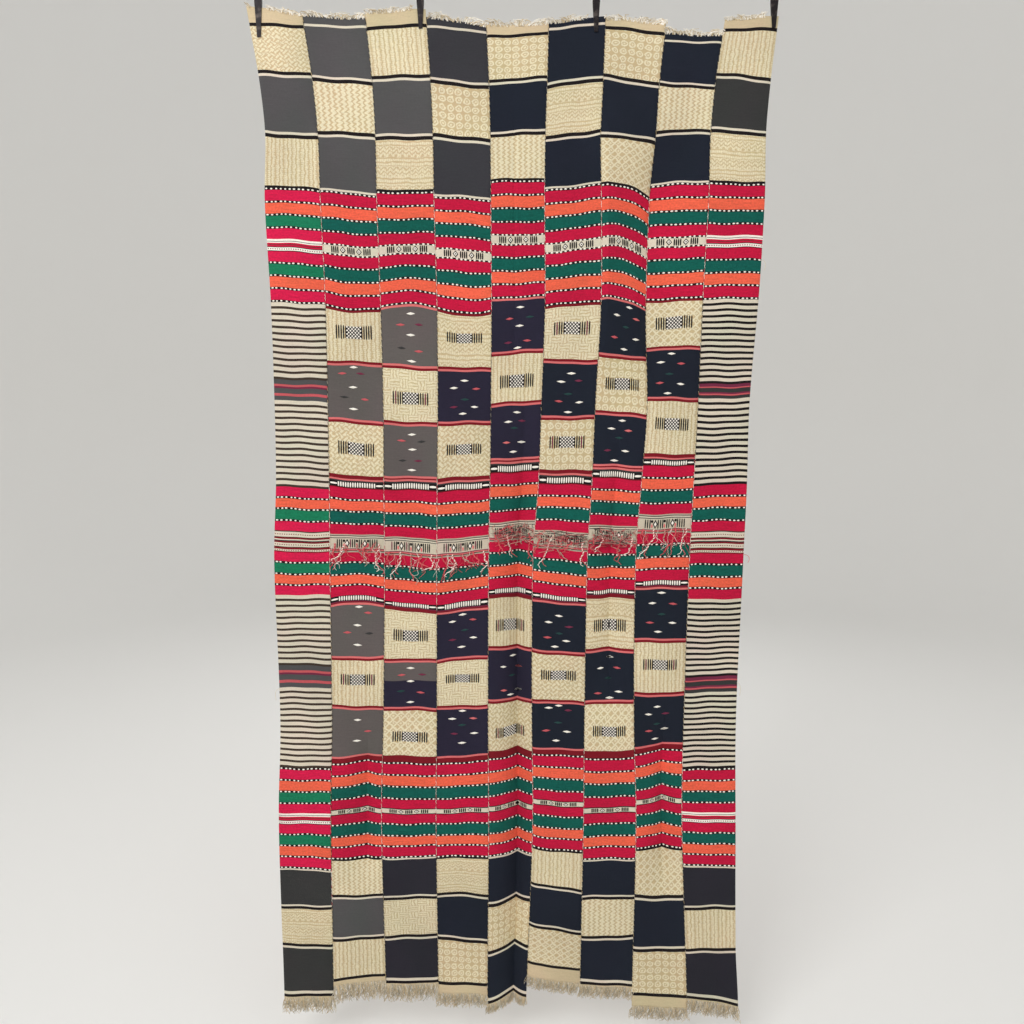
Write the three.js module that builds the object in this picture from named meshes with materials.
// A hanging cloth of nine narrow woven strips, sewn edge to edge and held up by four flat clips.
// Millimetres. +X is to the right, +Y away from the viewer and +Z up. The origin lies midway
// between the outer clips, level with the tops of the clips' straps.
import * as THREE from "three";

// Driving dimensions
const STRIP_COUNT = 9;
const CLOTH_THICKNESS = 2;
const PIECE_GAP = 0.3;
const ROW_COUNT = 22;
const FIRST_ROW_DROP = 112;
const LAST_ROW_DROP = 2540;
const ROW_SPACING = (LAST_ROW_DROP - FIRST_ROW_DROP) / (ROW_COUNT - 2);

// Drops are measured downwards from a level line this far under the strap tops.
const LEVEL_LINE = 20;

// Sections across the hanging cloth: the drop, the left edge's x and the nine strips' widths.
const SECTIONS = [
  { drop: 80, left: -643, widths: [133, 153, 148, 146, 153, 139, 148, 143, 131] },
  { drop: 210, left: -623, widths: [131, 147, 144, 144, 144, 138, 139, 138, 136] },
  { drop: 340, left: -612, widths: [131, 142, 143, 142, 137, 137, 138, 134, 137] },
  { drop: 490, left: -618, widths: [140, 140, 143, 142, 135, 141, 126, 142, 139] },
  { drop: 740, left: -610, widths: [139, 138, 143, 138, 136, 141, 119, 138, 140] },
  { drop: 990, left: -608, widths: [138, 140, 140, 136, 130, 138, 133, 130, 131] },
  { drop: 1200, left: -610, widths: [139, 139, 139, 136, 126, 138, 127, 136, 138] },
  { drop: 1400, left: -621, widths: [147, 141, 137, 135, 116, 142, 125, 141, 142] },
  { drop: 1830, left: -617, widths: [138, 136, 142, 137, 117, 140, 131, 133, 142] },
  { drop: 2110, left: -629, widths: [140, 136, 147, 143, 119, 137, 141, 124, 148] },
  { drop: 2520, left: -628, widths: [135, 144, 145, 137, 110, 145, 144, 146, 140] },
];

// Each strip's ends: the drop of its top and bottom edge at the left and at the right, and how far
// its loose threads stand up at the top and hang at the bottom. A strip has so many facets to the
// left and right of its crease, which lies so far across it.
const STRIPS = [
  { top: [34, 57], bottom: [2621, 2630], frayed: 12, fringe: 36, crease: 0.6, facets: [3, 2] },
  { top: [56, 64], bottom: [2596, 2578], frayed: 14, fringe: 46, crease: 0.7, facets: [4, 2] },
  { top: [50, 42], bottom: [2592, 2588], frayed: 12, fringe: 38, crease: 0.6, facets: [3, 2] },
  { top: [60, 80], bottom: [2617, 2622], frayed: 16, fringe: 34, crease: 0.6, facets: [3, 2] },
  { top: [80, 77], bottom: [2652, 2630], frayed: 16, fringe: 24, crease: 0.67, facets: [6, 3] },
  { top: [72, 59], bottom: [2563, 2581], frayed: 14, fringe: 32, crease: 0.6, facets: [3, 2] },
  { top: [65, 76], bottom: [2586, 2598], frayed: 14, fringe: 34, crease: 0.5, facets: [4, 4] },
  { top: [97, 104], bottom: [2651, 2659], frayed: 14, fringe: 36, crease: 0.6, facets: [4, 3] },
  { top: [66, 58], bottom: [2634, 2646], frayed: 12, fringe: 40, crease: 0.6, facets: [3, 2] },
];

// Folds: the crease's place, counted in strips from the left edge; the drops where it starts, is
// full, starts to fade and ends; its reach to the left and right; and its depth, positive where
// the cloth falls back.
const FOLDS = [
  { crease: 4.67, run: [850, 1420, 2700, 2900], reach: [80, 62], depth: 40 },
  { crease: 7.0, run: [260, 480, 800, 1080], reach: [120, 130], depth: 34 },
  { crease: 6.13, run: [200, 420, 820, 1000], reach: [70, 60], depth: -8 },
  { crease: 6.5, run: [1040, 1240, 1520, 1900], reach: [75, 75], depth: 26 },
  { crease: 7.6, run: [1780, 1980, 2190, 2340], reach: [75, 62], depth: 28 },
  { crease: 1.7, run: [1840, 1990, 2180, 2310], reach: [85, 62], depth: 22 },
  { crease: 3.0, run: [900, 1180, 1560, 1900], reach: [95, 95], depth: -12 },
  { crease: 9.16, run: [2470, 2640, 2900, 3000], reach: [120, 60], depth: -34 },
];

// Low waves over the whole cloth: height, and how far along x and along the drop one radian takes.
const WAVES = [
  { height: 6, acrossPerRadian: 150, dropPerRadian: 900, start: 0.6 },
  { height: 3, acrossPerRadian: 62, dropPerRadian: -520, start: 2.1 },
];
const STILL_ABOVE = 125;
const FULL_BELOW = 460;

// Loose threads along the edges, as combs whose narrow band lies next to the cloth's edge
const BAND_HEIGHT = 5;
const FRINGE_COUNT = 10;
const FRAYED_COUNT = 6;
const THREAD_ROOT_WIDTH = 6;
const THREAD_TIP_WIDTH = 1.4;
const CLIP_CLEARANCE = 17;

// Cut yarn ends on the middle band of the seven inner strips: the drop of their roots, and each
// end's place across the strip, its length and how far its tip leans to the right.
const YARN_BAND_INSET = 0.04;
const YARN_WIDTH = 4;
const YARN_THICKNESS = 2;
const YARN_LIFT = 0.4;
const YARN_ENDS = [
  {
    strip: 2,
    drop: 1335,
    ends: [[0.1, 95, 4], [0.3, 72, -5], [0.5, 84, 5], [0.7, 60, -6], [0.9, 98, -4]],
  },
  {
    strip: 3,
    drop: 1362,
    ends: [[0.1, 58, 4], [0.3, 88, 5], [0.5, 104, -5], [0.7, 56, 6], [0.9, 64, -4]],
  },
  {
    strip: 4,
    drop: 1362,
    ends: [[0.1, 92, 4], [0.3, 80, -5], [0.5, 52, 5], [0.7, 66, -6], [0.9, 74, -4]],
  },
  {
    strip: 5,
    drop: 1312,
    ends: [[0.14, 74, 2], [0.4, 86, -3], [0.685, 58, 1], [0.88, 92, -2]],
  },
  {
    strip: 6,
    drop: 1330,
    ends: [[0.1, 62, 4], [0.3, 96, -5], [0.5, 70, 5], [0.7, 54, -6], [0.9, 80, -4]],
  },
  {
    strip: 7,
    drop: 1322,
    ends: [[0.1, 58, 4], [0.3, 66, -5], [0.5, 60, 5], [0.7, 92, -6], [0.9, 70, -4]],
  },
  {
    strip: 8,
    drop: 1296,
    ends: [[0.1, 64, 4], [0.3, 104, -5], [0.5, 100, 5], [0.7, 88, -6], [0.9, 96, -4]],
  },
];

// Clips: the x of each and the drop that its jaws reach
const CLIPS = [
  { x: -620, bite: 108 },
  { x: -224, bite: 88 },
  { x: 206, bite: 96 },
  { x: 641, bite: 86 },
];
const STRAP_WIDTH = 28;
const STRAP_NECK_WIDTH = 18;
const STRAP_SHOULDER = 20;
const STRAP_LENGTH = 46;
const STRAP_THICKNESS = 2;
const JAW_THICKNESS = 2.2;
const JAW_TOP_WIDTH = 18;
const JAW_TIP_WIDTH = 9;
const JAW_TOP_DROP = 5;
const RIVET_DROP = 16;
const RIVET_RADIUS = 3;
const RIVET_HEAD_RADIUS = 5;
const RIVET_HEAD_HEIGHT = 1.2;
const ROUND_STEPS = 12;

const MATERIALS = {
  cream: new THREE.MeshStandardMaterial({ color: 0xd8c49b, roughness: 0.95, metalness: 0 }),
  greyed: new THREE.MeshStandardMaterial({ color: 0x6b625c, roughness: 0.95, metalness: 0 }),
  navy: new THREE.MeshStandardMaterial({ color: 0x3a3a44, roughness: 0.95, metalness: 0 }),
  red: new THREE.MeshStandardMaterial({ color: 0xc8284a, roughness: 0.9, metalness: 0 }),
  darkMetal: new THREE.MeshStandardMaterial({ color: 0x2b2729, roughness: 0.5, metalness: 0.6 }),
};

const { lerp, smoothstep } = THREE.MathUtils;

// A smooth curve through values given at rising places, straight past its ends. Its slope at each
// place is that between the place's two neighbours.
function smoothAlong(places, values, where) {
  const last = places.length - 1;
  const slope = (j) => {
    const a = Math.max(j - 1, 0);
    const b = Math.min(j + 1, last);
    return (values[b] - values[a]) / (places[b] - places[a]);
  };
  if (where <= places[0]) return values[0] + slope(0) * (where - places[0]);
  if (where >= places[last]) return values[last] + slope(last) * (where - places[last]);
  let i = 0;
  while (where > places[i + 1]) i += 1;
  const span = places[i + 1] - places[i];
  const t = (where - places[i]) / span;
  const rise = t * t * (3 - 2 * t);
  const startPull = t * (1 - t) * (1 - t) * span * slope(i);
  const endPull = t * t * (1 - t) * span * slope(i + 1);
  return lerp(values[i], values[i + 1], rise) + startPull - endPull;
}

const sectionDrops = SECTIONS.map((section) => section.drop);

// The x of seam number seam, from 0 at the left edge to STRIP_COUNT at the right edge.
function seamX(seam, drop) {
  const places = SECTIONS.map((section) =>
    section.widths.slice(0, seam).reduce((sum, width) => sum + width, section.left),
  );
  return smoothAlong(sectionDrops, places, drop);
}

// The x of a crease whose place is counted in strips from the left edge.
function creaseX(place, drop) {
  const strip = Math.min(Math.floor(place) + 1, STRIP_COUNT);
  return lerp(seamX(strip - 1, drop), seamX(strip, drop), place - strip + 1);
}

// How far the cloth's middle lies behind the plane of the clips.
function depthAt(x, drop) {
  const swing = smoothstep(drop, STILL_ABOVE, FULL_BELOW);
  let depth = 0;
  for (const fold of FOLDS) {
    const [head, full, fade, foot] = fold.run;
    const strength = smoothstep(drop, head, full) * (1 - smoothstep(drop, fade, foot));
    const offset = x - creaseX(fold.crease, drop);
    const reach = offset < 0 ? fold.reach[0] : fold.reach[1];
    const nearness = Math.max(0, 1 - Math.abs(offset) / reach);
    depth += fold.depth * strength * nearness * nearness;
  }
  for (const wave of WAVES) {
    const angle = x / wave.acrossPerRadian + drop / wave.dropPerRadian + wave.start;
    depth += wave.height * Math.sin(angle);
  }
  return swing * depth;
}

// A point of the cloth: across its strip from 0 to 1, at a drop, and so far towards the viewer.
function clothPoint(strip, across, drop, towards) {
  const leftX = seamX(strip - 1, drop);
  const rightX = seamX(strip, drop);
  const room = PIECE_GAP / 2;
  const x = lerp(leftX + room, rightX - room, across);
  return new THREE.Vector3(x, depthAt(x, drop) - towards, -LEVEL_LINE - drop);
}

// Moves every vertex of a geometry to where place sends it.
function bend(geometry, place) {
  const points = geometry.getAttribute("position");
  const point = new THREE.Vector3();
  for (let i = 0; i < points.count; i += 1) {
    point.copy(place(point.fromBufferAttribute(points, i)));
    points.setXYZ(i, point.x, point.y, point.z);
  }
  geometry.computeVertexNormals();
  return geometry;
}

// The drop of a strip's row. The first and last rows are its own edges, and all strips share the
// rows between them, so that their seams run side by side.
function rowDrop(strip, row, across) {
  const { top, bottom } = STRIPS[strip - 1];
  if (row === 0) return lerp(...top, across);
  if (row === ROW_COUNT) return lerp(...bottom, across);
  return FIRST_ROW_DROP + (row - 1) * ROW_SPACING;
}

// A point of the cloth as its facets have it, between two of the rows that all strips share.
function facetPoint(strip, across, drop, towards) {
  const rowsAbove = Math.floor((drop - FIRST_ROW_DROP) / ROW_SPACING);
  const above = FIRST_ROW_DROP + rowsAbove * ROW_SPACING;
  const top = clothPoint(strip, across, above, towards);
  const bottom = clothPoint(strip, across, above + ROW_SPACING, towards);
  return top.lerp(bottom, (drop - above) / ROW_SPACING);
}

// The places across a strip where its facets meet, from 0 at its left edge to 1 at its right.
function facetPlaces(strip) {
  const { crease, facets } = STRIPS[strip - 1];
  const [before, after] = facets;
  const left = Array.from({ length: before }, (_, i) => (crease * i) / before);
  const right = Array.from({ length: after + 1 }, (_, i) => lerp(crease, 1, i / after));
  return [...left, ...right];
}

function stripOf(strip) {
  const places = facetPlaces(strip);
  const columns = places.length - 1;
  const slab = new THREE.BoxGeometry(1, CLOTH_THICKNESS, 1, columns, 1, ROW_COUNT);
  return bend(slab, (point) => {
    const across = places[Math.round((point.x + 0.5) * columns)];
    const row = Math.round((0.5 - point.z) * ROW_COUNT);
    return clothPoint(strip, across, rowDrop(strip, row, across), -point.y);
  });
}

// A slab of even thickness in x and y, made of flat quads that share corners. Each quad lists its
// corners counter-clockwise, as seen from the front. Walls close the edges that only one quad has.
function slabOf(corners, quads, thickness) {
  const positions = corners.flatMap(([x, y]) => [x, y, thickness, x, y, 0]);
  const sides = quads.flatMap((quad) => quad.map((from, i) => [from, quad[(i + 1) % 4]]));
  const sideNames = new Set(sides.map(([from, to]) => `${from} ${to}`));
  const faces = [];
  for (const [a, b, c, d] of quads) {
    faces.push(2 * a, 2 * b, 2 * c, 2 * a, 2 * c, 2 * d);
    faces.push(2 * a + 1, 2 * c + 1, 2 * b + 1, 2 * a + 1, 2 * d + 1, 2 * c + 1);
  }
  for (const [from, to] of sides.filter(([a, b]) => !sideNames.has(`${b} ${a}`))) {
    faces.push(2 * from, 2 * from + 1, 2 * to + 1, 2 * from, 2 * to + 1, 2 * to);
  }
  const slab = new THREE.BufferGeometry();
  slab.setAttribute("position", new THREE.Float32BufferAttribute(positions, 3));
  return slab.setIndex(faces);
}

// A comb, one unit wide: a narrow band with tapering threads below it. Each stop along the band
// has its place across. A thread's stop also has the thread's length and the lean of its tip, in
// the units of unitWidth, the band's real width. At other stops the band only bends.
function combOf({ unitWidth, stops, rootWidth, tipWidth, inset, thickness }) {
  const corners = [];
  const quads = [];
  const root = rootWidth / 2 / unitWidth;
  const tip = tipWidth / 2 / unitWidth;
  const waist = (root + tip) / 2;
  const addPair = (left, right, y) => corners.push([left, y], [right, y]) - 2;
  const addStation = (across) => {
    const top = corners.push([across, 0], [across, -BAND_HEIGHT]) - 2;
    if (top > 0) quads.push([previous, previous + 1, top + 1, top]);
    previous = top;
    return top + 1;
  };
  let previous = 0;
  addStation(inset);
  for (const { across, length, lean } of stops) {
    if (!length) {
      addStation(across);
      continue;
    }
    const rootLeft = addStation(across - root);
    const rootRight = addStation(across + root);
    const middle = across + (lean * 0.3) / unitWidth;
    const end = across + lean / unitWidth;
    const half = addPair(middle - waist, middle + waist, -BAND_HEIGHT - length / 2);
    const foot = addPair(end - tip, end + tip, -BAND_HEIGHT - length);
    quads.push([rootLeft, half, half + 1, rootRight], [half, foot, foot + 1, half + 1]);
  }
  addStation(1 - inset);
  return slabOf(corners, quads, thickness);
}

function isApart(a, b, distance) {
  return Math.abs(a - b) > distance;
}

// Uneven numbers between -1 and 1 that depend only on the strip and the thread.
function uneven(strip, thread, turn) {
  return Math.sin(strip * 12.9 + thread * 4.7 + turn);
}

function evenThreads(strip, count, length, leanReach) {
  return Array.from({ length: count }, (_, i) => ({
    across: (i + 0.5) / count,
    length: length * (0.86 + 0.14 * uneven(strip, i, 0)),
    lean: leanReach * uneven(strip, i, 2),
  }));
}

function stripWidth(strip, drop) {
  return seamX(strip, drop) - seamX(strip - 1, drop);
}

// Cloth threads beyond a strip's edge, which is as thick as they are
function edgeThreads(unitWidth, stops) {
  return combOf({
    unitWidth,
    stops,
    rootWidth: THREAD_ROOT_WIDTH,
    tipWidth: THREAD_TIP_WIDTH,
    inset: 0,
    thickness: CLOTH_THICKNESS,
  });
}

function fringeOf(strip) {
  const { bottom, fringe } = STRIPS[strip - 1];
  const threads = evenThreads(strip, FRINGE_COUNT, fringe, 2);
  const comb = edgeThreads(stripWidth(strip, bottom[0]), threads);
  return bend(comb, (point) => {
    const drop = lerp(...bottom, point.x) + PIECE_GAP - point.y;
    return clothPoint(strip, point.x, drop, point.z - CLOTH_THICKNESS / 2);
  });
}

function frayedTopOf(strip) {
  const { top, frayed } = STRIPS[strip - 1];
  const threads = evenThreads(strip, FRAYED_COUNT, frayed, 4).filter(({ across }) => {
    const { x } = clothPoint(strip, across, top[0], 0);
    return CLIPS.every((clip) => isApart(clip.x, x, CLIP_CLEARANCE));
  });
  const comb = edgeThreads(stripWidth(strip, top[0]), threads);
  comb.rotateX(Math.PI);
  comb.translate(0, 0, CLOTH_THICKNESS);
  return bend(comb, (point) => {
    const drop = lerp(...top, point.x) - PIECE_GAP - point.y;
    return clothPoint(strip, point.x, drop, point.z - CLOTH_THICKNESS / 2);
  });
}

function yarnEndsOf({ strip, drop: rootDrop, ends }) {
  const width = stripWidth(strip, rootDrop);
  const threads = ends.map(([across, length, lean]) => ({ across, length, lean }));
  const bends = facetPlaces(strip)
    .slice(1, -1)
    .filter((place) => threads.every((thread) => isApart(place, thread.across, YARN_WIDTH / width)))
    .map((across) => ({ across }));
  const stops = [...threads, ...bends].sort((a, b) => a.across - b.across);
  const comb = combOf({
    unitWidth: width,
    stops,
    rootWidth: YARN_WIDTH,
    tipWidth: YARN_WIDTH / 2,
    inset: YARN_BAND_INSET,
    thickness: YARN_THICKNESS,
  });
  const back = CLOTH_THICKNESS / 2 + YARN_LIFT;
  return bend(comb, (point) =>
    facetPoint(strip, point.x, rootDrop - point.y, point.z + back),
  );
}

// An upright plate in a clip's own frame, whose origin is at the rivet. Its outline is drawn in
// x and z, and back is how far its rear face lies behind the plane of the cloth.
function plate(outline, thickness, back) {
  const hole = new THREE.Path();
  hole.absarc(0, 0, RIVET_RADIUS + PIECE_GAP, 0, 2 * Math.PI, true);
  outline.holes.push(hole);
  const shape = { depth: thickness, bevelEnabled: false, curveSegments: ROUND_STEPS / 2 };
  const solid = new THREE.ExtrudeGeometry(outline, shape);
  solid.rotateX(Math.PI / 2);
  return solid.translate(0, back, 0);
}

// The flat strap: a wide rounded head, drawn in at the shoulders to the neck between the jaws.
function strapPlate() {
  const top = LEVEL_LINE + RIVET_DROP;
  const half = STRAP_WIDTH / 2;
  const neck = STRAP_NECK_WIDTH / 2;
  const corner = half / 2;
  const outline = new THREE.Shape();
  outline.moveTo(-neck, top - STRAP_LENGTH);
  outline.lineTo(neck, top - STRAP_LENGTH);
  outline.lineTo(neck, top - STRAP_SHOULDER - neck / 2);
  outline.lineTo(half, top - STRAP_SHOULDER);
  outline.lineTo(half, top - corner);
  outline.lineTo(half - corner, top);
  outline.lineTo(corner - half, top);
  outline.lineTo(-half, top - corner);
  outline.lineTo(-half, top - STRAP_SHOULDER);
  outline.lineTo(-neck, top - STRAP_SHOULDER - neck / 2);
  outline.closePath();
  return plate(outline, STRAP_THICKNESS, STRAP_THICKNESS / 2);
}

// A jaw: a tongue that narrows downwards to a blunt tip, with its upper corners cut off.
function jawPlate(bite, back) {
  const top = RIVET_DROP - JAW_TOP_DROP;
  const half = JAW_TOP_WIDTH / 2;
  const tip = JAW_TIP_WIDTH / 2;
  const corner = half / 2;
  const outline = new THREE.Shape();
  outline.moveTo(-tip, RIVET_DROP - bite);
  outline.lineTo(tip, RIVET_DROP - bite);
  outline.lineTo(half, -half);
  outline.lineTo(half, top - corner);
  outline.lineTo(half - corner, top);
  outline.lineTo(corner - half, top);
  outline.lineTo(-half, top - corner);
  outline.lineTo(-half, -half);
  outline.closePath();
  return plate(outline, JAW_THICKNESS, back);
}

// The rivet: a shank through strap and jaws, with a low head outside each jaw.
function rivet() {
  const inner = CLOTH_THICKNESS / 2 + 2 * PIECE_GAP + JAW_THICKNESS;
  const outer = inner + RIVET_HEAD_HEIGHT;
  const profile = [
    [0, -outer],
    [RIVET_HEAD_RADIUS * 0.7, -outer],
    [RIVET_HEAD_RADIUS, -inner],
    [RIVET_RADIUS, -inner],
    [RIVET_RADIUS, inner],
    [RIVET_HEAD_RADIUS, inner],
    [RIVET_HEAD_RADIUS * 0.7, outer],
    [0, outer],
  ].map(([radius, along]) => new THREE.Vector2(radius, along));
  return new THREE.LatheGeometry(profile, ROUND_STEPS);
}

function namedMesh(name, geometry, material) {
  const mesh = new THREE.Mesh(geometry, material.clone());
  mesh.name = name;
  return mesh;
}

function clipOf({ x, bite }, number) {
  const clip = new THREE.Group();
  const frontJawBack = -CLOTH_THICKNESS / 2 - PIECE_GAP;
  const backJawBack = CLOTH_THICKNESS / 2 + PIECE_GAP + JAW_THICKNESS;
  const pieces = {
    strap: strapPlate(),
    front_jaw: jawPlate(bite, frontJawBack),
    back_jaw: jawPlate(bite, backJawBack),
    rivet: rivet(),
  };
  for (const [piece, geometry] of Object.entries(pieces)) {
    clip.add(namedMesh(`clip_${number}_${piece}`, geometry, MATERIALS.darkMetal));
  }
  clip.position.set(x, 0, -LEVEL_LINE - RIVET_DROP);
  return clip;
}

function clothGroup() {
  const cloth = new THREE.Group();
  for (let strip = 1; strip <= STRIP_COUNT; strip += 1) {
    const shade = strip <= 3 || strip === STRIP_COUNT ? MATERIALS.greyed : MATERIALS.navy;
    cloth.add(namedMesh(`strip_${strip}`, stripOf(strip), shade));
    cloth.add(namedMesh(`fringe_${strip}`, fringeOf(strip), MATERIALS.cream));
    cloth.add(namedMesh(`frayed_top_${strip}`, frayedTopOf(strip), MATERIALS.cream));
  }
  for (const row of YARN_ENDS) {
    cloth.add(namedMesh(`yarn_ends_${row.strip}`, yarnEndsOf(row), MATERIALS.red));
  }
  return cloth;
}

const hanging = new THREE.Group();
hanging.add(clothGroup());
CLIPS.forEach((clip, i) => hanging.add(clipOf(clip, i + 1)));

export default hanging;
